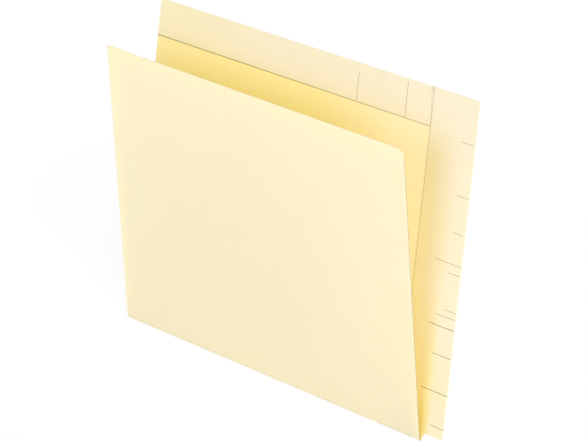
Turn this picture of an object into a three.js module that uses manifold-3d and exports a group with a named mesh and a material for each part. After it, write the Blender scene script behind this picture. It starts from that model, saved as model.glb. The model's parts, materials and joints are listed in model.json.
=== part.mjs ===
// Side tab folder for letter-size papers.
//
// One sheet of manila card is die-cut and creased along the bottom. It makes a tall back leaf, whose
// right side runs out into a filing tab, and a lower front leaf that leaves the tab and the top strip
// in view. The tab and the top strip are two plies thick: a side flap is folded in round the tab's
// outer edge, a top flap is folded down over the top edge, and each is glued to the back leaf.
//
// Millimetres. The origin is the middle of the fold's foot. +X runs along the fold towards the tab,
// -Y is the front leaf's side and +Z is up. Each leaf is drawn upright in a frame of its own, with
// the crease's axis as its bottom line, and then leans out from the crease.

import * as THREE from 'three';
import { mergeVertices } from 'three/addons/utils/BufferGeometryUtils.js';
import Module from 'manifold-3d';

// Card and leaves
const stock = 0.28;               // 11 point manila card
const foldLength = 292.1;         // 11 1/2 in, the width of the front leaf
const backHeight = 241.3;         // 9 1/2 in, from the fold's foot to the top edge
const frontHeight = 215.9;        // 8 1/2 in, so that the top strip shows above the front leaf
const frontCornerRadius = 6.35;   // 1/4 in, at the front leaf's free top corner

// Filing tab
const tabReach = 19.05;           // 3/4 in past the end of the fold
const tabRise = 6;                // the tab's foot clears the shelf, so the folder stands on its fold
const notchRun = 3;               // width of the slanted notch between the fold's end and the tab
const tabCornerRadius = 3.2;      // 1/8 in, at the tab's head and foot

// Second plies, folded over and glued down
const sideFlapWidth = 40.8;       // from the tab's outer edge to the flap's cut edge
const topFlapDepth = 27;          // from the top edge to the flap's cut edge
const flapGap = 1.6;              // between the end of the top flap and the side flap
const glueLine = 0.06;            // thickness of the glued joint, from ply to ply
const glueInset = 2;              // bare margin round the film of glue

// Crease
const creaseInside = 0.5;         // inside radius of the card's bend
const footPress = 0.03;           // how far the bend is pressed flat where it stands
const creaseWrap = 35;            // degrees that the bend curls in past the front leaf's outer face
const frontLean = 4.5;            // degrees from upright
const backLean = 8.4;             // degrees from upright

// Clearances
const runningGap = 0.05;          // between the crease and the front leaf that swings round it
const seam = 0.02;                // where the back leaf's edges butt against the crease and the rolls
const filmGap = 0.01;             // on each side of a film of glue

// Facets of a round corner, of a folded-over edge and of the crease
const cornerSegments = 10;
const rollSegments = 12;
const creaseSegments = 24;

// Worked out from the sizes above
const foldEnd = foldLength / 2;
const creaseOutside = creaseInside + stock;
const axisHeight = creaseOutside - footPress;
const backTop = backHeight - axisHeight;
const frontTop = frontHeight - axisHeight;
const tabFoot = tabRise - axisHeight;
const tabEdge = foldEnd + tabReach;
const flapGlued = creaseInside - glueLine;
const flapFace = flapGlued - stock;
const rollRadius = stock + glueLine / 2;
const rollDepth = creaseInside - glueLine / 2;
const sideRollLine = tabEdge - rollRadius;
const topRollLine = backTop - rollRadius;
const sideFlapEdge = tabEdge - sideFlapWidth;
const topFlapEdge = backTop - topFlapDepth;
const topFlapEnd = sideFlapEdge - flapGap;

const wasm = await Module();
wasm.setup();

const X = new THREE.Vector3(1, 0, 0);
const Y = new THREE.Vector3(0, 1, 0);
const Z = new THREE.Vector3(0, 0, 1);

function card(color) {
  return new THREE.MeshStandardMaterial({ color, roughness: 0.9, metalness: 0 });
}

function polygon(points) {
  return new THREE.Shape(points.map(([across, up]) => new THREE.Vector2(across, up)));
}

function rectangle(left, bottom, right, top) {
  return polygon([[left, bottom], [right, bottom], [right, top], [left, top]]);
}

function extrude(shape, depth, curveSegments) {
  return new THREE.ExtrudeGeometry(shape, { depth, bevelEnabled: false, curveSegments });
}

// A flat piece with its outline in X and Z, between the faces y = near and y = far.
function sheet(outline, near, far) {
  const geometry = extrude(outline, far - near, cornerSegments);
  geometry.applyMatrix4(new THREE.Matrix4().makeBasis(X, Z, Y.clone().negate()));
  return geometry.translate(0, far, 0);
}

// A section in Y and Z that runs along X.
function alongX(section, from, to, segments) {
  const geometry = extrude(section, to - from, segments);
  geometry.applyMatrix4(new THREE.Matrix4().makeBasis(Y, Z, X));
  return geometry.translate(from, 0, 0);
}

// A section in X and Y that runs along Z.
function alongZ(section, from, to, segments) {
  return extrude(section, to - from, segments).translate(0, 0, from);
}

function toSolid(geometry) {
  const bare = geometry.clone();
  bare.deleteAttribute('normal');
  bare.deleteAttribute('uv');
  const merged = mergeVertices(bare);
  return new wasm.Manifold(new wasm.Mesh({
    numProp: 3,
    vertProperties: merged.attributes.position.array,
    triVerts: new Uint32Array(merged.index.array),
  }));
}

function toGeometry(solid) {
  const mesh = solid.getMesh();
  const geometry = new THREE.BufferGeometry();
  geometry.setAttribute('position', new THREE.BufferAttribute(mesh.vertProperties, 3));
  geometry.setIndex(new THREE.BufferAttribute(mesh.triVerts, 1));
  geometry.computeVertexNormals();
  return geometry;
}

// Draws the tab's outer side upwards, from its rounded foot to its rounded head, as far out as the
// line x = reach. Short of the tab's edge, that line cuts the two round corners.
function tabSide(outline, reach) {
  const turn = tabEdge - tabCornerRadius;
  const cut = Math.acos(Math.min(1, (reach - turn) / tabCornerRadius));
  outline.absarc(turn, tabFoot + tabCornerRadius, tabCornerRadius, -Math.PI / 2, -cut, false);
  outline.absarc(turn, backTop - tabCornerRadius, tabCornerRadius, cut, Math.PI / 2, false);
}

// The crease: the card's bend, an arc from the back leaf's foot round to the front leaf's, pressed
// flat where it stands. Past the front leaf's outer face it curls in, inside the circle that the
// front leaf's foot swings on.
function bottomCrease() {
  const backEnd = THREE.MathUtils.degToRad(-backLean);
  const frontEnd = THREE.MathUtils.degToRad(frontLean - 180 - creaseWrap);
  const footAngle = Math.acos(axisHeight / creaseOutside);
  const down = -Math.PI / 2;
  const section = new THREE.Shape();
  section.absarc(0, 0, creaseOutside, backEnd, down + footAngle, true);
  section.absarc(0, 0, creaseOutside, down - footAngle, frontEnd, true);
  section.absarc(0, 0, creaseInside, frontEnd, backEnd, false);
  section.closePath();
  return alongX(section, -foldEnd, foldEnd, creaseSegments);
}

// The front leaf: its foot starts just outside the circle of the crease.
function frontLeaf() {
  const foot = Math.sqrt((creaseOutside + runningGap) ** 2 - creaseInside ** 2);
  const turn = foldEnd - frontCornerRadius;
  const outline = new THREE.Shape();
  outline.moveTo(-foldEnd, foot);
  outline.lineTo(foldEnd, foot);
  outline.absarc(turn, frontTop - frontCornerRadius, frontCornerRadius, 0, Math.PI / 2, false);
  outline.lineTo(-foldEnd, frontTop);
  outline.closePath();
  return sheet(outline, -creaseOutside, -creaseInside);
}

// The back leaf with its tab. Its outer edge and its top edge stop where the flaps roll over them.
function backLeaf() {
  const outline = new THREE.Shape();
  outline.moveTo(-foldEnd, seam);
  outline.lineTo(foldEnd, seam);
  outline.lineTo(foldEnd + notchRun, tabFoot);
  tabSide(outline, sideRollLine - seam);
  outline.lineTo(topFlapEnd + seam, backTop);
  outline.lineTo(topFlapEnd + seam, topRollLine - seam);
  outline.lineTo(-foldEnd, topRollLine - seam);
  outline.closePath();
  return sheet(outline, creaseInside, creaseOutside);
}

// The side flap: a ply that comes round the tab's outer edge in a half-round roll. The tab's round
// corners are cut through the roll and both plies.
function sideFlap() {
  const section = new THREE.Shape();
  section.moveTo(sideFlapEdge, flapFace);
  section.absarc(sideRollLine, rollDepth, rollRadius, -Math.PI / 2, Math.PI / 2, false);
  section.lineTo(sideRollLine, flapGlued);
  section.lineTo(sideFlapEdge, flapGlued);
  section.closePath();
  const folded = alongZ(section, tabFoot, backTop, rollSegments);

  const outline = new THREE.Shape();
  outline.moveTo(sideFlapEdge, tabFoot);
  tabSide(outline, tabEdge);
  outline.lineTo(sideFlapEdge, backTop);
  outline.closePath();
  const dieCut = sheet(outline, flapFace - stock, creaseOutside + stock);
  return toGeometry(toSolid(folded).intersect(toSolid(dieCut)));
}

// The top flap: a ply that comes over the top edge in a half-round roll, and ends short of the side
// flap.
function topFlap() {
  const section = new THREE.Shape();
  section.moveTo(flapFace, topFlapEdge);
  section.lineTo(flapGlued, topFlapEdge);
  section.lineTo(flapGlued, topRollLine);
  section.absarc(rollDepth, topRollLine, rollRadius, 0, Math.PI, false);
  section.closePath();
  return alongX(section, -foldEnd, topFlapEnd, rollSegments);
}

// A film of glue between a flap and the back leaf, inset from the flap's outline.
function glueFilm(left, bottom, right, top) {
  const outline = rectangle(left + glueInset, bottom + glueInset, right - glueInset, top - glueInset);
  return sheet(outline, flapGlued + filmGap, creaseInside - filmGap);
}

function piece(name, geometry, material) {
  const mesh = new THREE.Mesh(geometry, material);
  mesh.name = name;
  return mesh;
}

// The card's outer face, which the folded-over flaps show too, its inner face and the dried glue
const outerCard = '#fcefcf';
const innerCard = '#fae7ba';
const glue = '#e9dbb4';

const back = new THREE.Group();
back.position.z = axisHeight;
back.rotation.x = -THREE.MathUtils.degToRad(backLean);
back.add(
  piece('back_leaf', backLeaf(), card(innerCard)),
  piece('side_flap', sideFlap(), card(outerCard)),
  piece('top_flap', topFlap(), card(outerCard)),
  piece('side_flap_glue', glueFilm(sideFlapEdge, tabFoot, sideRollLine, backTop), card(glue)),
  piece('top_flap_glue', glueFilm(-foldEnd, topFlapEdge, topFlapEnd, topRollLine), card(glue)),
);

const front = new THREE.Group();
front.position.z = axisHeight;
front.rotation.x = THREE.MathUtils.degToRad(frontLean);
front.add(piece('front_leaf', frontLeaf(), card(outerCard)));

const crease = piece('bottom_crease', bottomCrease(), card(outerCard));
crease.position.z = axisHeight;

const folder = new THREE.Group();
folder.add(back, front, crease);

export default folder;
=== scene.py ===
"""Side tab folder, dressed for the camera: twisted card, rolled edges, a creased fold and guide ticks.

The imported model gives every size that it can: the crease's axis, the two leans, and each ply's outline and
thickness. Each leaf is drawn flat in a space of its own, X along the fold, Y out of the folder and Z up the
leaf, then leaned out from the crease, and the whole sheet is twisted a little about the crease's axis.
"""

import json
import logging
import math
from collections.abc import Callable, Iterable, Sequence
from dataclasses import dataclass, field
from enum import Enum, IntEnum

import bmesh
import bpy
from mathutils import Matrix, Vector


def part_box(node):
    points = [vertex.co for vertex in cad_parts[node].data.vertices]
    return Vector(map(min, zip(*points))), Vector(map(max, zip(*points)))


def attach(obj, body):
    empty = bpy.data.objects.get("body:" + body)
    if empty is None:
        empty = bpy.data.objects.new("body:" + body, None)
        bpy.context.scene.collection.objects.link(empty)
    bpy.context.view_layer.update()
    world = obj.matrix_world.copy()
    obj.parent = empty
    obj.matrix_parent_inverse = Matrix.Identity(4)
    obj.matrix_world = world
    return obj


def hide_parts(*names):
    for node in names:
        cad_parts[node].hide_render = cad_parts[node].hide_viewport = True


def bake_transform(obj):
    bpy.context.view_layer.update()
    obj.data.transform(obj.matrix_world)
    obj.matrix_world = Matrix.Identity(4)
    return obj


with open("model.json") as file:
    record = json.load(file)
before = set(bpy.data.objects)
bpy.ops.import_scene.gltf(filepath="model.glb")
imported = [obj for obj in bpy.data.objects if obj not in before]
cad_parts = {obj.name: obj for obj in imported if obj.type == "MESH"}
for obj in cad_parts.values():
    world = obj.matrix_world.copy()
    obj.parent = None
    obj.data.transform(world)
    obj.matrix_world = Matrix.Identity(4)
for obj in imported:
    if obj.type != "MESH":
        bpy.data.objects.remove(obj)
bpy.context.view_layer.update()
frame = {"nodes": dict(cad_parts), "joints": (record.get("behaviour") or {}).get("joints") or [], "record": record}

MM = 0.001
SHEET_TWIST = math.radians(1.8)  # from one end of the fold to the other
NOISE_SPAN = (0.3, 0.7)  # most of a noise's values lie in this range

Span = tuple[float, float]
Point = tuple[float, float]
Colour = tuple[float, float, float, float]
Socket = bpy.types.NodeSocket
Shade = Colour | Socket  # a colour, or the socket that gives it

log = logging.getLogger("side_tab_folder")


class Side(Enum):
    """Which leaf a piece belongs to. The value is the way along Y that the leaf's outer face looks."""

    FRONT = -1
    BACK = 1

    @property
    def body(self) -> str:
        """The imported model's moving body that the leaf is part of."""
        return self.name.lower()


class Slot(Enum):
    """The record's material slots."""

    OUTSIDE = "manila_outside"
    INSIDE = "manila_inside"
    GLUE = "dried_glue"


class Skin(IntEnum):
    """A face of the card, which is also its material's place in a card piece's list."""

    OUTSIDE = 0
    CUT_EDGE = 1
    INSIDE = 2
    TWO_PLY = 3
    BACKED = 4
    # cut ends across the grain: fibre ends, painted far darker as the shade along those edges
    FIBRE_ENDS_AND_PAINTED_SHADE = 5


class Layup(Enum):
    """How a ply shows the card: the finish of the side that was laid, of its rim and of its far side."""

    LEAF = (Skin.INSIDE, Skin.CUT_EDGE, Skin.OUTSIDE)
    FLAP = (Skin.TWO_PLY, Skin.CUT_EDGE, Skin.INSIDE)
    PLAIN = (Skin.OUTSIDE, Skin.OUTSIDE, Skin.OUTSIDE)


@dataclass(frozen=True)
class Box:
    """A node's lowest and highest corner in its leaf's own space."""

    low: Vector
    high: Vector

    @property
    def depth(self) -> float:
        """The size along Y, which is a ply's thickness."""
        return self.high.y - self.low.y


@dataclass(frozen=True)
class Stance:
    """How the sheet stands: the crease's axis, the two leans and the twist along the fold."""

    axis_height: float
    leans: dict[Side, float]
    twist_per_metre: float

    @classmethod
    def from_frame(cls, twist: float) -> "Stance":
        """Reads the axis from the fold's joint and the leans from the two cover faces.

        Args:
            twist: How far the sheet turns about the crease's axis along the whole fold, in radians.

        Returns:
            The stance of the folder at rest.
        """
        joint = frame["joints"][0]
        axes = {mount["name"]: mount["axis"] for mount in frame["record"]["mounts"]}
        faces = {Side.BACK: axes["back_cover_face"], Side.FRONT: axes["front_cover_face"]}
        leans = {side: math.atan2(-axis[2], side.value * axis[1]) for side, axis in faces.items()}
        low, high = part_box("bottom_crease")
        return cls(joint["pos_m"][2], leans, twist / (high.x - low.x))

    def leaf_matrix(self, side: Side) -> Matrix:
        """Gives the flat, upright leaf's way into the row frame, before the twist.

        Args:
            side: The leaf.

        Returns:
            The matrix from the leaf's own space to the row frame.
        """
        lean = Matrix.Rotation(-side.value * self.leans[side], 4, "X")
        mirror = Matrix.Diagonal((1, side.value, 1, 1))
        return Matrix.Translation((0, 0, self.axis_height)) @ lean @ mirror

    def leaf_box(self, node: str, side: Side) -> Box:
        """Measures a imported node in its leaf's own space.

        Args:
            node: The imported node's name.
            side: The leaf that it belongs to.

        Returns:
            Its lowest and highest corner there.
        """
        back = self.leaf_matrix(side).inverted()
        points = [back @ vertex.co for vertex in frame["nodes"][node].data.vertices]
        low = Vector([min(point[k] for point in points) for k in range(3)])
        high = Vector([max(point[k] for point in points) for k in range(3)])
        return Box(low, high)

    def twist(self, mesh: bmesh.types.BMesh) -> None:
        """Turns each vertex about the crease's axis by its place along the fold.

        Args:
            mesh: The piece in the row frame.
        """
        axis = Vector((0, 0, self.axis_height))
        for vertex in mesh.verts:
            turn = Matrix.Rotation(self.twist_per_metre * vertex.co.x, 3, "X")
            vertex.co = turn @ (vertex.co - axis) + axis

    def stand(self, mesh: bmesh.types.BMesh, side: Side) -> None:
        """Leans a flat leaf piece out from the crease and twists it.

        Args:
            mesh: The piece in its leaf's own space.
            side: The leaf that it belongs to.
        """
        bmesh.ops.transform(mesh, matrix=self.leaf_matrix(side), verts=mesh.verts)
        self.twist(mesh)
        bmesh.ops.recalc_face_normals(mesh, faces=mesh.faces)


@dataclass(frozen=True)
class Pattern:
    """A noise in a finish, and the range of its values over which a second colour sets in."""

    per_metre: float
    detail: float
    stretch: tuple[float, float, float] = (1, 1, 1)  # under 1 along an axis draws the pattern out along it
    fade: Span = NOISE_SPAN
    share: float = 1.0  # how much of the second colour shows past the fade
    detail_strength: float = 0.6


class Shader:
    """The node tree of a material or of the world, with short ways to add and join nodes."""

    def __init__(self, owner: bpy.types.Material | bpy.types.World) -> None:
        """Starts an empty tree.

        Args:
            owner: The material or the world that the tree belongs to.
        """
        self.owner = owner
        self.owner.use_nodes = True
        self.tree = owner.node_tree
        self.tree.nodes.clear()

    @classmethod
    def of_material(cls, name: str) -> "Shader":
        """Starts a new material's tree."""
        return cls(bpy.data.materials.new(name))

    def add(self, kind: str, inputs: dict[str | int, object] | None = None,
            **settings: object) -> bpy.types.Node:
        """Adds a node.

        Args:
            kind: The node's Blender type.
            inputs: Each socket's value, or the output socket that feeds it, by its name or its place.
            settings: The node's own properties.

        Returns:
            The new node.
        """
        node = self.tree.nodes.new(kind)
        for name, value in settings.items():
            setattr(node, name, value)
        for name, value in (inputs or {}).items():
            if isinstance(value, Socket):
                self.tree.links.new(value, node.inputs[name])
            else:
                node.inputs[name].default_value = value
        return node

    def place(self) -> Socket:
        """Gives the Object coordinates, which every pattern lies on."""
        return self.add("ShaderNodeTexCoord").outputs["Object"]

    def noise(self, pattern: Pattern) -> Socket:
        """Adds a pattern's noise.

        Args:
            pattern: How fine, how detailed and how stretched it is.

        Returns:
            The noise's value, from 0 to 1.
        """
        place = self.add("ShaderNodeMapping", {"Vector": self.place(), "Scale": pattern.stretch})
        return self.add("ShaderNodeTexNoise", {
            "Vector": place.outputs["Vector"], "Scale": pattern.per_metre, "Detail": pattern.detail,
            "Roughness": pattern.detail_strength}).outputs["Fac"]

    def ranged(self, value: Socket, source: Span, target: Span) -> Socket:
        """Maps a value from one range to another, held at its ends.

        Args:
            value: The value to map.
            source: The range that it is read over.
            target: The range that it is written to.

        Returns:
            The mapped value.
        """
        sockets = {"Value": value, "From Min": source[0], "From Max": source[1],
                   "To Min": target[0], "To Max": target[1]}
        return self.add("ShaderNodeMapRange", sockets).outputs["Result"]

    def mixed(self, share: Socket, first: Shade, second: Shade) -> Socket:
        """Mixes two colours.

        Args:
            share: How much of the second colour shows.
            first: The first colour.
            second: The second colour.

        Returns:
            The mixed colour.
        """
        # The places of the mix node's colour sockets, because its number sockets have the same names
        factor, colour_a, colour_b, result = 0, 6, 7, 2
        sockets = {factor: share, colour_a: first, colour_b: second}
        return self.add("ShaderNodeMix", sockets, data_type="RGBA").outputs[result]

    def patterned(self, noise: Socket, pattern: Pattern, first: Shade, second: Shade) -> Socket:
        """Mixes two colours by a pattern.

        Args:
            noise: The pattern's noise.
            pattern: Where in the noise the second colour sets in, and its share.
            first: The first colour.
            second: The second colour.

        Returns:
            The mixed colour.
        """
        return self.mixed(self.ranged(noise, pattern.fade, (0, pattern.share)), first, second)

    def finish(self, surface: Socket) -> bpy.types.Material | bpy.types.World:
        """Joins the surface to the output.

        Args:
            surface: What the light meets.

        Returns:
            The material or the world, ready to use.
        """
        kind = "World" if isinstance(self.owner, bpy.types.World) else "Material"
        self.add(f"ShaderNodeOutput{kind}", {"Surface": surface})
        return self.owner


@dataclass(frozen=True)
class PaintedShade:
    """A painted shade that the card takes in one place: its colour, its greatest share and where it fades.

    The share is full up to the first place of each span and none past the second: along X towards the tab,
    and up along Z.
    """

    colour: Colour
    share: float
    along: Span
    up: Span


@dataclass(frozen=True)
class CardFinish:
    """Manila card: cloudy, finely grained along the fold, translucent, and with painted shade where its tones lie.
    """

    name: str
    pale: Colour
    deep: Colour
    # painted shade, laid over the card's colour by place
    tones: tuple[PaintedShade, ...]
    translucency: float = 0.42
    speck: Colour = (0.800, 0.700, 0.480, 1)
    glow: Colour = (0.965, 0.860, 0.200, 1)  # of the light that comes through the card
    clouds: Pattern = Pattern(190.0, 3)
    grain: Pattern = Pattern(1500.0, 4, stretch=(0.3, 1, 1), fade=(0.35, 0.75), share=0.5)
    specks: Pattern = Pattern(520.0, 1, stretch=(0.5, 1, 1), fade=(0.80, 0.86), share=0.5)
    roughness: Span = (0.68, 0.84)
    gloss: float = 0.3
    bump: float = 0.35
    relief: float = 0.03 * MM

    def material(self) -> bpy.types.Material:
        """Builds the card's material.

        Returns:
            The material, patterned on Object coordinates.
        """
        shader = Shader.of_material(self.name)
        clouds, grain, specks = [shader.noise(each) for each in (self.clouds, self.grain, self.specks)]
        clouded = shader.patterned(clouds, self.clouds, self.pale, self.deep)
        grained = shader.patterned(grain, self.grain, clouded, self.deep)
        colour = self.toned(shader, shader.patterned(specks, self.specks, grained, self.speck))

        bump = shader.add("ShaderNodeBump", {
            "Strength": self.bump, "Distance": self.relief, "Height": grain})
        normal = bump.outputs["Normal"]
        sheet = shader.add("ShaderNodeBsdfPrincipled", {
            "Base Color": colour, "Roughness": shader.ranged(grain, NOISE_SPAN, self.roughness),
            "Normal": normal, "Specular IOR Level": self.gloss})
        glow = shader.add("ShaderNodeBsdfTranslucent", {"Color": self.glow, "Normal": normal})
        both = shader.add("ShaderNodeMixShader", {
            "Fac": self.translucency, 1: sheet.outputs[0], 2: glow.outputs[0]})
        return shader.finish(both.outputs[0])

    def toned(self, shader: Shader, colour: Socket) -> Socket:
        """Lays the painted shade of the tones over the card's own colour, one after the other.

        Args:
            shader: The material's tree.
            colour: The card's own colour.

        Returns:
            The toned colour.
        """
        axes = shader.add("ShaderNodeSeparateXYZ", {"Vector": shader.place()}).outputs
        for tone in self.tones:
            along = shader.ranged(axes["X"], tone.along, (tone.share, 0))
            up = shader.ranged(axes["Z"], tone.up, (1, 0))
            share = shader.add("ShaderNodeMath", {0: along, 1: up}, operation="MULTIPLY").outputs[0]
            colour = shader.mixed(share, colour, tone.colour)
        return colour


@dataclass(frozen=True)
class CutEdgeFinish:
    """The card's die-cut edge: open fibres, deeper and rougher than its faces."""

    name: str = "die_cut_edge"
    pale: Colour = (0.860, 0.760, 0.520, 1)
    deep: Colour = (0.680, 0.560, 0.340, 1)
    fibres: Pattern = Pattern(5200.0, 3, stretch=(0.12, 1, 0.12))
    roughness: Span = (0.8, 0.95)
    gloss: float = 0.2
    bump: float = 0.6
    relief: float = 0.02 * MM

    def material(self) -> bpy.types.Material:
        """Builds the cut edge's material, with fibres that run along the edge.

        Returns:
            The material, patterned on Object coordinates.
        """
        shader = Shader.of_material(self.name)
        fibres = shader.noise(self.fibres)
        bump = shader.add("ShaderNodeBump", {
            "Strength": self.bump, "Distance": self.relief, "Height": fibres})
        edge = shader.add("ShaderNodeBsdfPrincipled", {
            "Base Color": shader.patterned(fibres, self.fibres, self.pale, self.deep),
            "Roughness": shader.ranged(fibres, NOISE_SPAN, self.roughness),
            "Normal": bump.outputs["Normal"], "Specular IOR Level": self.gloss})
        return shader.finish(edge.outputs[0])


@dataclass(frozen=True)
class InkFinish:
    """Thin printing ink that lets a little of the card's grain through."""

    name: str = "guide_ink"
    full: Colour = (0.160, 0.142, 0.000, 1)
    thin: Colour = (0.230, 0.200, 0.000, 1)
    grain: Pattern = Pattern(1800.0, 2, fade=(0.4, 0.7))
    roughness: Span = (0.75, 0.9)
    gloss: float = 0.02

    def material(self) -> bpy.types.Material:
        """Builds the ink's material, which is thinner where the card's grain is deep.

        Returns:
            The material, patterned on Object coordinates.
        """
        shader = Shader.of_material(self.name)
        grain = shader.noise(self.grain)
        ink = shader.add("ShaderNodeBsdfPrincipled", {
            "Base Color": shader.patterned(grain, self.grain, self.full, self.thin),
            "Roughness": shader.ranged(grain, NOISE_SPAN, self.roughness),
            "Specular IOR Level": self.gloss})
        return shader.finish(ink.outputs[0])


@dataclass(frozen=True)
class GlueFinish:
    """Dried white glue, clear and slightly yellow, with brush streaks."""

    name: str = "dried_glue"
    pale: Colour = (0.860, 0.780, 0.570, 1)
    deep: Colour = (0.760, 0.640, 0.400, 1)
    streaks: Pattern = Pattern(400.0, 3, stretch=(1, 1, 0.15))
    roughness: Span = (0.25, 0.45)

    def material(self) -> bpy.types.Material:
        """Builds the glue's material, streaked along the way it was laid.

        Returns:
            The material, patterned on Object coordinates.
        """
        shader = Shader.of_material(self.name)
        streaks = shader.noise(self.streaks)
        glue = shader.add("ShaderNodeBsdfPrincipled", {
            "Base Color": shader.patterned(streaks, self.streaks, self.pale, self.deep),
            "Roughness": shader.ranged(streaks, NOISE_SPAN, self.roughness)})
        return shader.finish(glue.outputs[0])


@dataclass(frozen=True)
class Manila:
    """The folder's card, with tones of painted shade that stand for the dim, warm light that passes from leaf to
    leaf.

    The spans are for tones that fade just past the fold's end, where the tab starts, and for tones that are
    full all along the folder or all the way up.
    """

    over_fold: Span
    all_along: Span
    all_up: Span

    @classmethod
    def from_frame(cls) -> "Manila":
        """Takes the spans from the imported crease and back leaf.

        Returns:
            The card with its spans.
        """
        fold_end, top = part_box("bottom_crease")[1].x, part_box("back_leaf")[1].z
        into_tab, past_top = 6 * MM, 1 * MM
        return cls((fold_end, fold_end + into_tab), (2 * fold_end, 3 * fold_end), (top, top + past_top))

    def outside(self) -> CardFinish:
        """The outer face, which the front leaf and the back of the folder show.

        Returns:
            The finish.
        """
        # painted shade: yellower up from the fold, short of the tab
        painted_shade_near_fold = PaintedShade((0.985, 0.998, 0.860, 1), 0.7, self.over_fold, (0, 150 * MM))
        return CardFinish(
            "manila_outside", pale=(0.982, 0.990, 0.965, 1), deep=(0.976, 0.980, 0.925, 1),
            tones=(painted_shade_near_fold,), glow=(0.962, 0.882, 0.235, 1))

    def inside(self) -> CardFinish:
        """The inner face, with painted shade on its left and near the fold.

        Returns:
            The finish.
        """
        # Painted shade on the left and near the fold; the pale and deep colours are a little deeper than the outer
        # face's, partly as the card's other side and partly as painted shade inside the folder.
        painted_shade_on_left = PaintedShade((0.948, 0.840, 0.660, 1), 1.0, (20 * MM, 95 * MM), self.all_up)
        painted_shade_near_fold = PaintedShade((0.970, 0.800, 0.360, 1), 0.8, self.over_fold, (0, 50 * MM))
        return CardFinish(
            "manila_inside", pale=(0.975, 0.880, 0.930, 1), deep=(0.967, 0.860, 0.870, 1),
            tones=(painted_shade_on_left, painted_shade_near_fold))

    def two_ply(self) -> CardFinish:
        """The flaps' faces in the strip and the tab, where two plies let little light through, with painted shade.

        Returns:
            The finish.
        """
        # The flaps show the card's outer face, painted deeper here as the shade inside the folder, with more
        # painted shade on the strip's left, below the tab's head, at its foot, beside the front leaf and near the
        # fold.
        painted_shade_strip_left = PaintedShade((0.950, 0.862, 0.590, 1), 1.0, (-130 * MM, -30 * MM), self.all_up)
        painted_shade_below_head = PaintedShade((0.945, 0.845, 0.520, 1), 1.0, (130 * MM, 152 * MM), (195 * MM, 222 * MM))
        painted_shade_tab_foot = PaintedShade((0.935, 0.840, 0.560, 1), 0.8, self.all_along, (40 * MM, 80 * MM))
        painted_shade_beside_front = PaintedShade((0.975, 0.780, 0.270, 1), 0.9, self.over_fold, (0, 110 * MM))
        painted_shade_near_fold = PaintedShade((0.860, 0.680, 0.220, 1), 0.8, self.over_fold, (12 * MM, 32 * MM))
        return CardFinish(
            "manila_two_ply_painted_shade", pale=(0.948, 0.878, 0.710, 1), deep=(0.940, 0.858, 0.665, 1),
            tones=(painted_shade_strip_left, painted_shade_below_head, painted_shade_tab_foot, painted_shade_beside_front, painted_shade_near_fold), translucency=0.12)

    def backed(self) -> CardFinish:
        """The back leaf's outer face where a flap lies behind it.

        Returns:
            The finish.
        """
        # painted shade on the tab's outer face near the fold
        painted_shade_near_fold = PaintedShade((0.985, 0.900, 0.600, 1), 0.5, self.over_fold, (0, 110 * MM))
        return CardFinish(
            "manila_backed", pale=(0.985, 0.935, 0.730, 1), deep=(0.978, 0.915, 0.690, 1),
            tones=(painted_shade_near_fold,), translucency=0.05)

    def materials(self) -> list[bpy.types.Material]:
        """Builds the card's materials.

        Returns:
            The materials, in the order that a ply marks its faces in.
        """
        finishes = {
            Skin.OUTSIDE: self.outside(),
            Skin.CUT_EDGE: CutEdgeFinish(),
            Skin.INSIDE: self.inside(),
            Skin.TWO_PLY: self.two_ply(),
            Skin.BACKED: self.backed(),
            # fibre ends across the grain, painted very dark as painted shade along those edges
            Skin.FIBRE_ENDS_AND_PAINTED_SHADE: CutEdgeFinish(
                "cut_fibre_ends_and_painted_shade", pale=(0.300, 0.270, 0.100, 1), deep=(0.200, 0.180, 0.060, 1)),
        }
        return [finishes[skin].material() for skin in Skin]


@dataclass(frozen=True)
class Finishes:
    """The folder's materials, each built once."""

    card: list[bpy.types.Material]
    ink: list[bpy.types.Material]
    glue: list[bpy.types.Material]

    @classmethod
    def build(cls) -> "Finishes":
        """Builds every material of the folder, as the lists that its pieces take."""
        return cls(Manila.from_frame().materials(), [InkFinish().material()], [GlueFinish().material()])


def each_once(elements: Iterable[bmesh.types.BMVert | bmesh.types.BMEdge]) -> list:
    """Drops doubles and keeps the order, which a set wouldn't, so that each run cuts at the same points."""
    return list(dict.fromkeys(elements))


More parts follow.
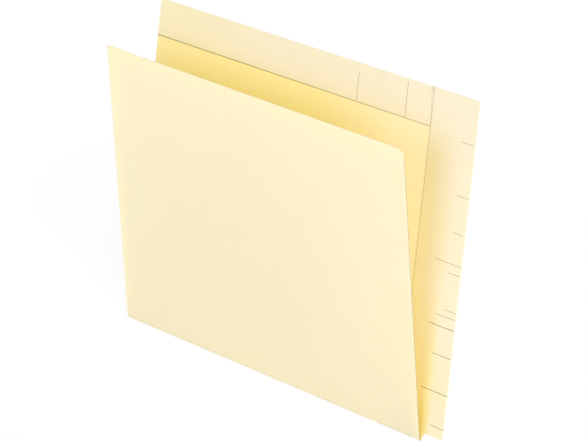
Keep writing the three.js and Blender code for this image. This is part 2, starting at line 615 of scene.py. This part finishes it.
@dataclass
class Ply:
    """A ply of card in its leaf's own space, on its way from a flat face to a solid sheet."""

    mesh: bmesh.types.BMesh = field(default_factory=bmesh.new)
    cell: float = 9 * MM  # of the quilt that lets the ply follow the sheet's twist
    same_place: float = 0.002 * MM  # nearer points than this count as one
    square_within: float = math.radians(3.3)  # a cut this near to square across the grain shows fibre ends, painted dark with shade
    sharp_from: float = math.radians(60)  # edges that turn more than this are broken
    roll_steps: int = 16
    corner_cuts: int = 12

    def lay(self, corners: Iterable[tuple[float, float, float]]) -> "Ply":
        """Lays one flat face, from its corners in order."""
        self.mesh.faces.new([self.mesh.verts.new(corner) for corner in corners])
        return self

    def lay_upright(self, outline: Iterable[Point], depth: float) -> "Ply":
        """Lays one flat face upright, from its corners in X and Z and its place along Y."""
        return self.lay((across, depth, up) for across, up in outline)

    def roll_over(self, through: Vector, axis: Vector) -> "Ply":
        """Folds the card over by a half turn, from the border that lies level with the roll's axis.

        Args:
            through: A point on the roll's axis.
            axis: The roll's direction.

        Returns:
            This ply.
        """
        out = axis.cross(Vector((0, 1, 0)))
        border = [edge for edge in self.mesh.edges
                  if all(abs((vertex.co - through).dot(out)) < self.same_place for vertex in edge.verts)]
        ends = each_once(vertex for edge in border for vertex in edge.verts)
        bmesh.ops.spin(self.mesh, geom=border + ends, cent=through, axis=axis, angle=math.pi,
                       steps=self.roll_steps, use_merge=False)
        return self

    def sweep(self, turn: float, steps: int) -> "Ply":
        """Sweeps the face about the X axis into a bent solid.

        Args:
            turn: The sweep's angle in radians.
            steps: Its facets.

        Returns:
            This ply.
        """
        everything = [*self.mesh.verts, *self.mesh.edges, *self.mesh.faces]
        bmesh.ops.spin(self.mesh, geom=everything, cent=(0, 0, 0), axis=(1, 0, 0), angle=turn,
                       steps=steps, use_merge=False)
        return self

    def round_corner(self, centre: Point, radius: float, first: float) -> "Ply":
        """Cuts a square corner to a quarter circle, through every layer of the ply.

        Args:
            centre: The arc's centre in X and Z.
            radius: The arc's radius.
            first: The angle where the arc starts, in degrees from X towards Z.

        Returns:
            This ply.
        """
        middle = Vector((centre[0], 0, centre[1]))
        sides = [self.heading(first), self.heading(first + 90)]
        for side in sides:
            self.slice(middle, side)
        for cut in range(self.corner_cuts):
            out = self.heading(first + 90 * (cut + 0.5) / self.corner_cuts)
            corner = [face for face in self.mesh.faces
                      if all((vertex.co - middle).dot(side) > -self.same_place
                             for vertex in face.verts for side in sides)]
            self.slice(middle + out * radius, out, corner)
        return self

    def quilt(self) -> "Ply":
        """Cuts the ply into small cells, so that it can follow the sheet's twist.

        Returns:
            This ply.
        """
        for axis in (Vector((1, 0, 0)), Vector((0, 0, 1))):
            reach = [vertex.co.dot(axis) for vertex in self.mesh.verts]
            for line in range(math.floor(min(reach) / self.cell) + 1, math.ceil(max(reach) / self.cell)):
                self.slice(axis * line * self.cell, axis)
        return self

    def thicken(self, thickness: float, layup: Layup) -> "Ply":
        """Gives the ply its thickness towards +Y and marks which finish each side takes.

        The grain runs along the fold, so a straight cut across it shows the fibres' ends, painted far darker as
        shade along those edges.

        Args:
            thickness: The ply's thickness.
            layup: How it shows the card.

        Returns:
            This ply.
        """
        bmesh.ops.recalc_face_normals(self.mesh, faces=self.mesh.faces)
        lowest = min(self.mesh.faces, key=lambda face: face.calc_center_median().y)
        if lowest.normal.y > 0:
            bmesh.ops.reverse_faces(self.mesh, faces=self.mesh.faces)
        near, rim, far = layup.value
        first_side = set(self.mesh.verts)
        bmesh.ops.solidify(self.mesh, geom=list(self.mesh.faces), thickness=thickness)
        self.mesh.normal_update()
        square = math.cos(self.square_within)
        for face in self.mesh.faces:
            on_first = [vertex in first_side for vertex in face.verts]
            face.material_index = near if all(on_first) else rim if any(on_first) else far
            if face.material_index == Skin.CUT_EDGE and abs(face.normal.x) > square:
                face.material_index = Skin.FIBRE_ENDS_AND_PAINTED_SHADE
        return self

    def soften(self, width: float, is_seam: Callable[[Vector], bool]) -> "Ply":
        """Breaks the sharp corners of the cut edges, but not where a seam meets the next piece.

        Args:
            width: How much of each side the break takes.
            is_seam: Says whether a point lies on a seam.

        Returns:
            This ply.
        """
        self.mesh.normal_update()
        sharp = [edge for edge in self.mesh.edges
                 if edge.calc_face_angle(0) > self.sharp_from
                 and not any(is_seam(vertex.co) for vertex in edge.verts)]
        bmesh.ops.bevel(self.mesh, geom=sharp, offset=width, segments=2, profile=0.5,
                        affect="EDGES", material=-1)
        return self

    def slice(self, point: Vector, normal: Vector, corner: Sequence[bmesh.types.BMFace] = ()) -> "Ply":
        """Cuts the ply with a plane.

        Args:
            point: A point of the plane.
            normal: The plane's normal.
            corner: The faces to cut, whose part past the plane is dropped. Without it all faces are cut.

        Returns:
            This ply.
        """
        faces = corner or self.mesh.faces
        edges = each_once(edge for face in faces for edge in face.edges)
        points = each_once(vertex for face in faces for vertex in face.verts)
        bmesh.ops.bisect_plane(self.mesh, geom=[*points, *edges, *faces], dist=self.same_place,
                               plane_co=point, plane_no=normal, clear_outer=bool(corner))
        return self

    @staticmethod
    def heading(degrees: float) -> Vector:
        """The direction at an angle from X towards Z."""
        return Vector((math.cos(math.radians(degrees)), 0, math.sin(math.radians(degrees))))


def rectangle(left: float, low: float, right: float, high: float) -> list[Point]:
    """The corners of an upright rectangle in X and Z."""
    return [(left, low), (right, low), (right, high), (left, high)]


def show_mesh(name: str, mesh: bmesh.types.BMesh,
              materials: Sequence[bpy.types.Material]) -> bpy.types.Object:
    """Adds a mesh to the scene.

    Args:
        name: The object's name.
        mesh: Its mesh in the row frame, which is used up.
        materials: Its material slots.

    Returns:
        The object.
    """
    data = bpy.data.meshes.new(name)
    mesh.to_mesh(data)
    mesh.free()
    for material in materials:
        data.materials.append(material)
    shown = bpy.data.objects.new(name, data)
    bpy.context.scene.collection.objects.link(shown)
    return shown


@dataclass(frozen=True)
class Workshop:
    """What every sub-assembly is made with: the stance, the finishes and the card's own details."""

    stance: Stance
    finishes: Finishes
    smooth_below: float = math.radians(18)  # edges that turn less than this are shaded smooth
    edge_break: float = 0.035 * MM  # how much of each side the break of a cut edge takes
    hold: float = 0.2 * MM  # width of the cells beside a roll, past which its smooth shading doesn't run
    foot_gap: float = 0.02 * MM  # from a leaf's foot to the crease's axis, so that open leaves don't meet

    def present(self, name: str, mesh: bmesh.types.BMesh, materials: Sequence[bpy.types.Material],
                slot: Slot, *nodes: str) -> bpy.types.Object:
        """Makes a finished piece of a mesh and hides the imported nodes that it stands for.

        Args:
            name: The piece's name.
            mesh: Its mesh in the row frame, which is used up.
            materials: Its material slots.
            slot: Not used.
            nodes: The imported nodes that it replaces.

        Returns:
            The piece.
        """
        mesh.normal_update()
        for face in mesh.faces:
            face.smooth = True
        for edge in mesh.edges:
            edge.smooth = edge.calc_face_angle(0) < self.smooth_below
        piece = show_mesh(name, mesh, materials)
        if nodes:
            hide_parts(*nodes)
        return piece

    def mount(self, name: str, ply: Ply, side: Side, materials: Sequence[bpy.types.Material],
              slot: Slot, *nodes: str) -> bpy.types.Object:
        """Stands a ply in its leaf's place, makes its piece and lets it ride on the leaf's body.

        Args:
            name: The piece's name.
            ply: The ply in its leaf's own space.
            side: The leaf.
            materials: The piece's material slots.
            slot: The record's slot that it takes its finish from.
            nodes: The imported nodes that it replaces.

        Returns:
            The piece.
        """
        self.stance.stand(ply.mesh, side)
        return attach(self.present(name, ply.mesh, materials, slot, *nodes), side.body)


@dataclass
class FrontLeaf:
    """The lower leaf, with one rounded top corner."""

    shop: Workshop
    corner_radius: float = 6.35 * MM

    def build(self) -> list[bpy.types.Object]:
        """Builds the leaf and lets it ride on the front body.

        Returns:
            The leaf's card.
        """
        box, foot = self.shop.stance.leaf_box("front_leaf", Side.FRONT), self.shop.foot_gap
        right, top, radius = box.high.x, box.high.z, self.corner_radius
        ply = Ply().lay_upright(rectangle(box.low.x, foot, right, top), box.low.y)
        ply.round_corner((right - radius, top - radius), radius, 0)
        ply.quilt().thicken(box.depth, Layup.LEAF)
        ply.soften(self.shop.edge_break, lambda point: point.z < foot + ply.same_place)
        card = self.shop.finishes.card
        return [self.shop.mount("front_card", ply, Side.FRONT, card, Slot.OUTSIDE, "front_leaf")]


@dataclass
class BackLeaf:
    """The tall leaf, its filing tab, and the two flaps that are folded over and glued down to it.

    The top flap's end is slanted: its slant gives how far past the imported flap's end its cut corner and its
    head stand, so that the gap to the side flap tapers.
    """

    shop: Workshop
    notch_run: float = 3 * MM
    tab_corner_radius: float = 3.2 * MM
    flap_slant: Span = (1.3 * MM, -0.4 * MM)

    def __post_init__(self) -> None:
        """Reads the plies' places from the frame."""
        stance = self.shop.stance
        self.leaf = stance.leaf_box("back_leaf", Side.BACK)
        self.side = stance.leaf_box("side_flap", Side.BACK)
        self.top = stance.leaf_box("top_flap", Side.BACK)
        self.fold_end = -self.leaf.low.x
        self.stock = self.leaf.depth
        self.roll_radius = self.side.depth / 2
        self.roll_depth = (self.side.high.y + self.side.low.y) / 2
        self.side_roll = self.side.high.x - self.roll_radius
        self.top_roll = self.top.high.z - self.roll_radius
        self.flap_corner, self.flap_head = (self.top.high.x + shift for shift in self.flap_slant)

    def build(self) -> list[bpy.types.Object]:
        """Builds the leaf, both flaps and both films of glue, and lets them ride on the back body.

        Returns:
            The five pieces.
        """
        card, glue = self.shop.finishes.card, self.shop.finishes.glue
        parts = (
            ("back_card", self.sheet(), card, Slot.INSIDE, "back_leaf"),
            ("side_flap_card", self.side_flap(), card, Slot.OUTSIDE, "side_flap"),
            ("top_flap_card", self.top_flap(), card, Slot.OUTSIDE, "top_flap"),
            ("side_glue_film", self.film("side_flap_glue"), glue, Slot.GLUE, "side_flap_glue"),
            ("top_glue_film", self.film("top_flap_glue"), glue, Slot.GLUE, "top_flap_glue"),
        )
        return [self.shop.mount(name, ply, Side.BACK, materials, slot, node)
                for name, ply, materials, slot, node in parts]

    def round_tab(self, ply: Ply) -> None:
        """Cuts the tab's head and foot to their round corners, through every layer of a ply.

        Args:
            ply: The ply, with square corners.
        """
        radius, low, high = self.tab_corner_radius, self.side.low, self.side.high
        ply.round_corner((high.x - radius, low.z + radius), radius, -90)
        ply.round_corner((high.x - radius, high.z - radius), radius, 0)

    def sheet(self) -> Ply:
        """The back leaf's own ply, from the crease to where the flaps roll over.

        Its outer face is marked as backed where a flap lies behind it. In the top strip its inner face
        takes the flaps' finish, because it shows in the gap between their ends.

        Returns:
            The ply.
        """
        foot, head, gap = self.side.low.z, self.side.high.z, self.shop.foot_gap
        outline = [
            (-self.fold_end, gap), (self.fold_end, gap), (self.fold_end + self.notch_run, foot),
            (self.side_roll, foot), (self.side_roll, head), (self.flap_head, head),
            (self.flap_head, self.top_roll), (-self.fold_end, self.top_roll)]
        ply = Ply().lay_upright(outline, self.leaf.low.y)
        self.round_tab(ply)
        ply.slice(self.side.low, Vector((1, 0, 0)))
        ply.slice(self.top.low, Vector((0, 0, 1)))
        ply.quilt().thicken(self.stock, Layup.LEAF)
        for face in ply.mesh.faces:
            middle = face.calc_center_median()
            in_strip, in_tab = middle.z > self.top.low.z, middle.x > self.side.low.x
            if face.material_index == Skin.OUTSIDE and (in_strip or in_tab):
                face.material_index = Skin.BACKED
            elif face.material_index == Skin.INSIDE and in_strip:
                face.material_index = Skin.TWO_PLY
        near = 2 * ply.same_place

        def is_seam(point: Vector) -> bool:
            """Says whether a point is where the leaf runs on into the crease or a roll."""
            return (point.z < gap + near or abs(point.x - self.side_roll) < near
                    or (abs(point.z - self.top_roll) < near and point.x < self.flap_head + near))

        return ply.soften(self.shop.edge_break, is_seam)

    def side_flap(self) -> Ply:
        """The tab's second ply, with the roll round the tab's outer edge.

        Returns:
            The ply.
        """
        low, high = self.side.low, self.side.high
        ply = Ply().lay_upright(rectangle(low.x, low.z, self.side_roll, high.z), low.y)
        ply.slice(Vector((self.side_roll - self.shop.hold, 0, 0)), Vector((1, 0, 0)))
        ply.roll_over(Vector((self.side_roll, self.roll_depth, 0)), Vector((0, 0, 1)))
        self.round_tab(ply)
        ply.quilt().thicken(self.stock, Layup.FLAP)
        back = self.leaf.low.y
        seam = self.side_roll + 2 * ply.same_place
        return ply.soften(self.shop.edge_break, lambda point: point.y > back and point.x < seam)

    def top_flap(self) -> Ply:
        """The top strip's second ply, with the roll over the top edge and a slanted end.

        Returns:
            The ply.
        """
        low = self.top.low
        outline = [(low.x, low.z), (self.flap_corner, low.z), (self.flap_head, self.top_roll),
                   (low.x, self.top_roll)]
        ply = Ply().lay_upright(outline, low.y)
        ply.slice(Vector((0, 0, self.top_roll - self.shop.hold)), Vector((0, 0, 1)))
        ply.roll_over(Vector((0, self.roll_depth, self.top_roll)), Vector((-1, 0, 0)))
        ply.quilt().thicken(self.stock, Layup.FLAP)
        back = self.leaf.low.y
        seam = self.top_roll + 2 * ply.same_place
        return ply.soften(self.shop.edge_break, lambda point: point.y > back and point.z < seam)

    def film(self, node: str) -> Ply:
        """A film of glue between a flap and the leaf.

        Args:
            node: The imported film's name.

        Returns:
            The film.
        """
        box = self.shop.stance.leaf_box(node, Side.BACK)
        film = Ply().lay_upright(rectangle(box.low.x, box.low.z, box.high.x, box.high.z), box.low.y)
        return film.quilt().thicken(box.depth, Layup.PLAIN)


@dataclass
class Crease:
    """The card's bend along the bottom, which turns from the back leaf's foot to the front leaf's."""

    shop: Workshop
    steps: int = 28

    def build(self) -> list[bpy.types.Object]:
        """Builds the bend, pressed flat where it stands.

        Returns:
            The bend.
        """
        stance = self.shop.stance
        leaf = stance.leaf_box("back_leaf", Side.BACK)
        inside, outside, end = leaf.low.y, leaf.high.y, -leaf.low.x
        ply = Ply().lay([(-end, inside, 0), (end, inside, 0), (end, outside, 0), (-end, outside, 0)])
        ply.sweep(sum(stance.leans.values()) - math.pi, self.steps)
        ply.quilt()
        for face in ply.mesh.faces:
            middle = face.calc_center_median()
            at_end, depth = abs(middle.x) > end - ply.same_place, math.hypot(middle.y, middle.z)
            face.material_index = (Skin.FIBRE_ENDS_AND_PAINTED_SHADE if at_end
                                   else Skin.INSIDE if depth < (inside + outside) / 2 else Skin.OUTSIDE)
        stance.stand(ply.mesh, Side.BACK)
        for vertex in ply.mesh.verts:
            vertex.co.z = max(vertex.co.z, 0)
        card = self.shop.finishes.card
        bend = self.shop.present("fold_bend", ply.mesh, card, Slot.OUTSIDE, "bottom_crease")
        start, stop = [stance.leaf_matrix(side) @ Vector((0, inside, 0))
                       for side in (Side.BACK, Side.FRONT)]
        return [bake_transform(bend)]


@dataclass(frozen=True)
class Tick:
    """A guide tick: its start below the head, its length, its inset from the tab's edge and its weight."""

    below_top: float
    length: float
    inset: float = 0.7 * MM
    weight: float = 1.0


@dataclass
class GuideLines:
    """The short rules printed on the two flaps for placing labels, and painted shadow lines in ink along their cut
    edges.
    """

    back: BackLeaf
    width: float = 0.265 * MM
    level_edge_shadow: Span = (0.42 * MM, 0.27 * MM)  # painted shadow line under the top flap's cut edge: its width at its left end and at its right
    # painted shadow line along the side flap's cut edge
    upright_edge_shadow: float = 0.125 * MM
    end_edge_shadow: float = 0.20 * MM  # painted shadow line along the top flap's slanted end: its width at the flap's head, from a point at the flap's corner
    raised: float = 0.012 * MM
    sunk: float = 0.006 * MM  # into the flap's face
    side_ticks: tuple[Tick, ...] = (
        Tick(30.2 * MM, 11 * MM, 1.9 * MM, 0.9),
        Tick(66.2 * MM, 11 * MM, weight=0.8),
        Tick(91.7 * MM, 9 * MM, 2.3 * MM, 0.9),
        Tick(113.2 * MM, 23 * MM),
        Tick(119.7 * MM, 11 * MM),
        Tick(145.4 * MM, 11 * MM, weight=0.9),
        Tick(150.1 * MM, 17 * MM, 1.3 * MM),
        Tick(157.7 * MM, 23 * MM, 0.2 * MM, 1.45),
        Tick(177.6 * MM, 16.5 * MM, weight=1.25),
        Tick(203.6 * MM, 24 * MM, 0.2 * MM, 1.45),
        Tick(227.6 * MM, 12 * MM, 0.1 * MM, 1.2),
    )
    top_ticks: tuple[Tick, ...] = (
        Tick(6.5 * MM, 19.7 * MM, 109.6 * MM),
        Tick(1.8 * MM, 24.6 * MM, 64.3 * MM),
    )

    def build(self) -> list[bpy.types.Object]:
        """Draws the ticks, and the painted shadow lines along the cut edges, on the flaps' faces.

        Returns:
            The three drawn pieces.
        """
        side, top = self.back.side, self.back.top
        corner, end = self.back.flap_corner, self.back.flap_head
        edge, head = side.high.x, side.high.z
        across = [self.bar(edge - tick.inset - tick.length / 2, head - tick.below_top,
                           tick.length, self.width * tick.weight) for tick in self.side_ticks]
        upright = [self.bar(edge - tick.inset, head - tick.below_top - tick.length / 2,
                            self.width * tick.weight, tick.length) for tick in self.top_ticks]
        left, right = self.level_edge_shadow
        # painted shadow lines in ink along the flaps' cut edges, where the step's own shadow would fall
        painted_edge_shadows = [
            [(top.low.x, top.low.z), (corner, top.low.z),
             (corner, top.low.z + right), (top.low.x, top.low.z + left)],
            [(corner, top.low.z), (end, head), (end - self.end_edge_shadow, head)],
            rectangle(side.low.x, side.low.z, side.low.x + self.upright_edge_shadow, head)]
        lines = {"tab_ticks": across, "top_ticks": upright, "flap_edge_painted_shadows": painted_edge_shadows}
        return [self.draw(name, outlines) for name, outlines in lines.items()]

    @staticmethod
    def bar(across: float, up: float, width: float, height: float) -> list[Point]:
        """The corners of a bar in X and Z, from its middle and its size."""
        return rectangle(across - width / 2, up - height / 2, across + width / 2, up + height / 2)

    def draw(self, name: str, outlines: Iterable[Iterable[Point]]) -> bpy.types.Object:
        """Draws lines in ink on the flaps' faces.

        Args:
            name: The piece's name.
            outlines: Each line's corners in X and Z.

        Returns:
            The piece, riding on the back body.
        """
        ply = Ply()
        for outline in outlines:
            ply.lay_upright(outline, self.back.side.low.y - self.raised)
        ply.quilt().thicken(self.raised + self.sunk, Layup.PLAIN)
        return self.back.shop.mount(name, ply, Side.BACK, self.back.shop.finishes.ink, Slot.OUTSIDE)


def way_out(azimuth: float, elevation: float) -> Vector:
    """The direction out from the folder, in degrees round from the front towards the tab and up."""
    turn, tilt = math.radians(azimuth), math.radians(elevation)
    return Vector((math.sin(turn) * math.cos(tilt), -math.cos(turn) * math.cos(tilt), math.sin(tilt)))


def hang(data: bpy.types.Camera | bpy.types.Light, place: Vector, out: Vector) -> bpy.types.Object:
    """Hangs a camera or a lamp in the scene, turned to look back along its way out.

    Args:
        data: The camera or the lamp.
        place: Where it hangs.
        out: The way out to it from what it looks at.

    Returns:
        Its object.
    """
    hung = bpy.data.objects.new(data.name, data)
    hung.location = place
    hung.rotation_mode = "QUATERNION"
    hung.rotation_quaternion = (-out).to_track_quat("-Z", "Y")
    bpy.context.scene.collection.objects.link(hung)
    return hung


@dataclass(frozen=True)
class PhotoCamera:
    """The photograph's camera: 45 degrees round to the right and a little above."""

    place: tuple[float, float, float] = (1.29295, -1.2813, 0.85794)
    azimuth: float = 44.67
    elevation: float = 22.11
    lens: float = 173.8
    sensor: float = 36.0

    def build(self) -> None:
        """Makes the camera and gives it to the scene."""
        data = bpy.data.cameras.new("photo_camera")
        data.lens, data.sensor_width = self.lens, self.sensor
        out = way_out(self.azimuth, self.elevation)
        bpy.context.scene.camera = hang(data, Vector(self.place), out)


@dataclass(frozen=True)
class Lamp:
    """A square soft box that looks at the folder's middle.

    Its level is the share of white that it alone gives an upright white face across the fold.
    """

    name: str
    azimuth: float
    elevation: float
    level: float
    distance: float = 4.5
    size: float = 2.6
    aim: tuple[float, float, float] = (0, 0, 0.12)

    def build(self) -> None:
        """Hangs the lamp."""
        out = way_out(self.azimuth, self.elevation)
        data = bpy.data.lights.new(self.name, "AREA")
        data.size = self.size
        data.energy = self.level * (math.pi * self.distance) ** 2 / abs(out.y)
        hang(data, Vector(self.aim) + out * self.distance, out)


@dataclass(frozen=True)
class Studio:
    """A white room: a pale floor, an even sky and soft boxes."""

    white: Colour = (1, 1, 1, 1)
    sky: float = 0.47
    backdrop: float = 1.0  # the sky's strength as the camera sees it, plain white
    floor_half: float = 6.0
    floor_colour: Colour = (0.86, 0.86, 0.86, 1)
    floor_lift: float = 0.30
    floor_veil: float = 0.35
    lamps: tuple[Lamp, ...] = (
        Lamp("key_box", azimuth=66, elevation=16, level=0.368, distance=9.0, size=5.2),
        Lamp("front_box", azimuth=5, elevation=10, level=0.24),
        Lamp("back_box", azimuth=188, elevation=25, level=0.39),
    )

    def build(self) -> None:
        """Builds the sky, the floor and the lamps."""
        bpy.context.scene.view_settings.view_transform = "Standard"
        self.build_sky()
        self.build_floor()
        for lamp in self.lamps:
            lamp.build()

    def build_sky(self) -> None:
        """Lights evenly, and shows white to the camera, to gloss and through clear things."""
        world = bpy.data.worlds.new("studio")
        bpy.context.scene.world = world
        shader = Shader(world)
        path = shader.add("ShaderNodeLightPath").outputs
        seen = path["Is Camera Ray"]
        for ray in ("Is Glossy Ray", "Is Transmission Ray"):
            seen = shader.add("ShaderNodeMath", {0: seen, 1: path[ray]}, operation="MAXIMUM").outputs[0]
        light, backdrop = [
            shader.add("ShaderNodeBackground", {"Color": self.white, "Strength": strength}).outputs[0]
            for strength in (self.sky, self.backdrop)]
        sky = shader.add("ShaderNodeMixShader", {"Fac": seen, 1: light, 2: backdrop})
        shader.finish(sky.outputs[0])

    def build_floor(self) -> None:
        """Lays the floor."""
        mesh = bmesh.new()
        bmesh.ops.create_grid(mesh, x_segments=1, y_segments=1, size=self.floor_half)
        show_mesh("floor", mesh, [self.floor_finish()])

    def floor_finish(self) -> bpy.types.Material:
        """Paints a pale floor that the camera sees as a white veil with the folder's shadow on it.

        The veil is thin, and nothing below it is shaded by it, so that the front leaf still shows when it
        opens past the floor's level.

        Returns:
            The floor's material.
        """
        shader = Shader.of_material("floor")
        to_camera = shader.add("ShaderNodeLightPath").outputs["Is Camera Ray"]
        below = shader.add("ShaderNodeNewGeometry").outputs["Backfacing"]
        clear = shader.add("ShaderNodeBsdfTransparent").outputs[0]
        paint = shader.add("ShaderNodeBsdfDiffuse", {"Color": self.floor_colour}).outputs[0]
        lift = shader.add("ShaderNodeEmission", {"Strength": self.floor_lift}).outputs[0]
        lifted = shader.add("ShaderNodeAddShader", {0: paint, 1: lift}).outputs[0]
        veil = shader.add("ShaderNodeMixShader", {"Fac": self.floor_veil, 1: clear, 2: lifted}).outputs[0]
        above = shader.add("ShaderNodeMixShader", {"Fac": to_camera, 1: paint, 2: veil}).outputs[0]
        seen = shader.add("ShaderNodeMixShader", {"Fac": below, 1: above, 2: clear}).outputs[0]
        return shader.finish(seen)


def main() -> None:
    """Builds the camera, the studio and the folder's sub-assemblies in order, and logs each piece's number of
    faces.
    """
    logging.basicConfig(level=logging.INFO, format="%(name)s: %(message)s")
    PhotoCamera().build()
    Studio().build()
    shop = Workshop(Stance.from_frame(SHEET_TWIST), Finishes.build())
    back = BackLeaf(shop)
    for assembly in (FrontLeaf(shop), back, Crease(shop), GuideLines(back)):
        for piece in assembly.build():
            log.info("%s: %d faces", piece.name, len(piece.data.polygons))


if __name__ == "__main__":
    main()
